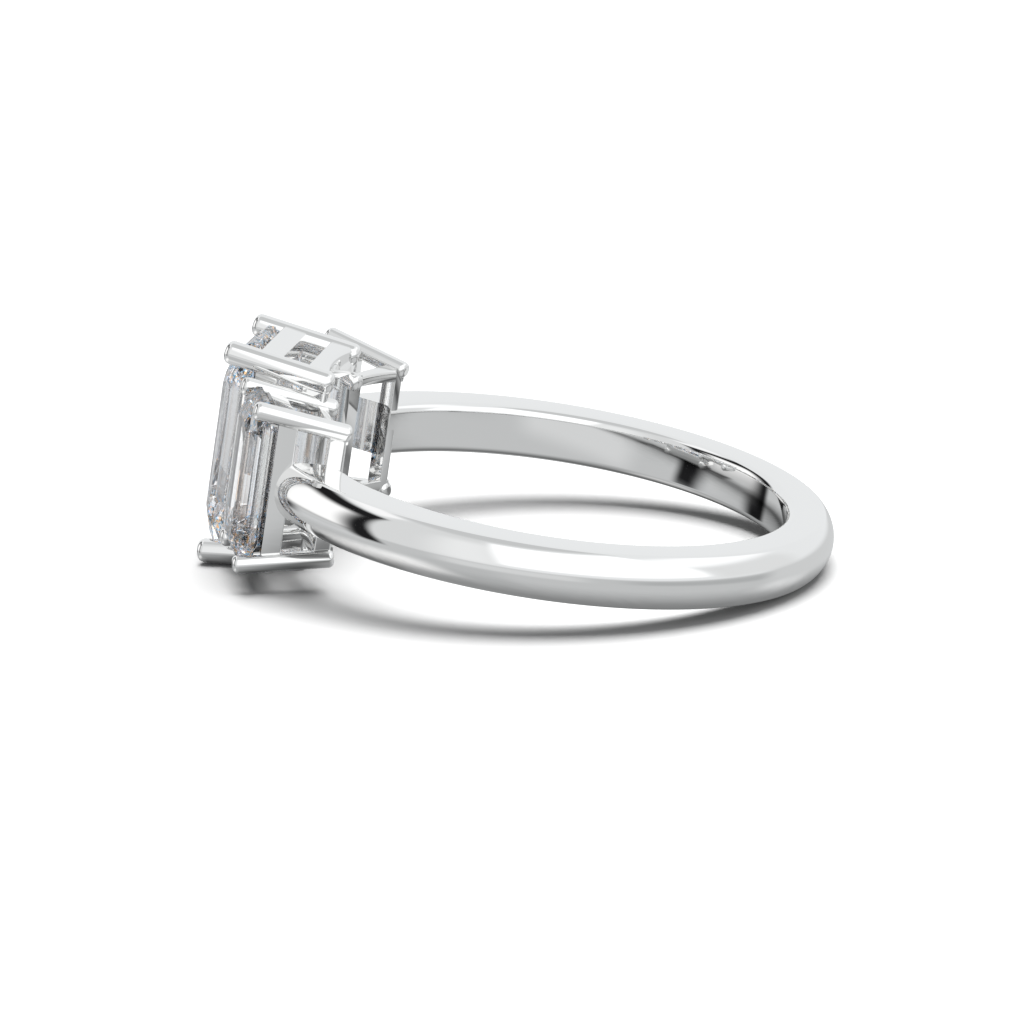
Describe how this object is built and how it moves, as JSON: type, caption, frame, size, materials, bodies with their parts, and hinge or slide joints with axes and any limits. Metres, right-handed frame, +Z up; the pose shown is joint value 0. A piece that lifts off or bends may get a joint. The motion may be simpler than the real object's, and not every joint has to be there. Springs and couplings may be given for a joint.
{
  "type": "three-stone ring",
  "caption": "Polished metal finger ring lying on its side, with step-cut stones in open prong basket heads on a plain band.",
  "frame": {"origin": "middle of the ring's bounding box, on the floor it lies on", "axes": "+Z up from the floor; +X along the ring from the heads towards the band opposite them; +Y across the ring, so that y = 0 is its mirror plane"},
  "size_m": [0.023, 0.0214, 0.0084],
  "materials": {
    "white_metal": "mirror-polished white precious metal",
    "stone": "colourless cut and polished gemstone"
  },
  "bodies": {
    "root": {"ring_mount": "white_metal", "middle_stone": "stone", "side_stone_near": "stone", "side_stone_far": "stone"}
  },
  "joints": []
}
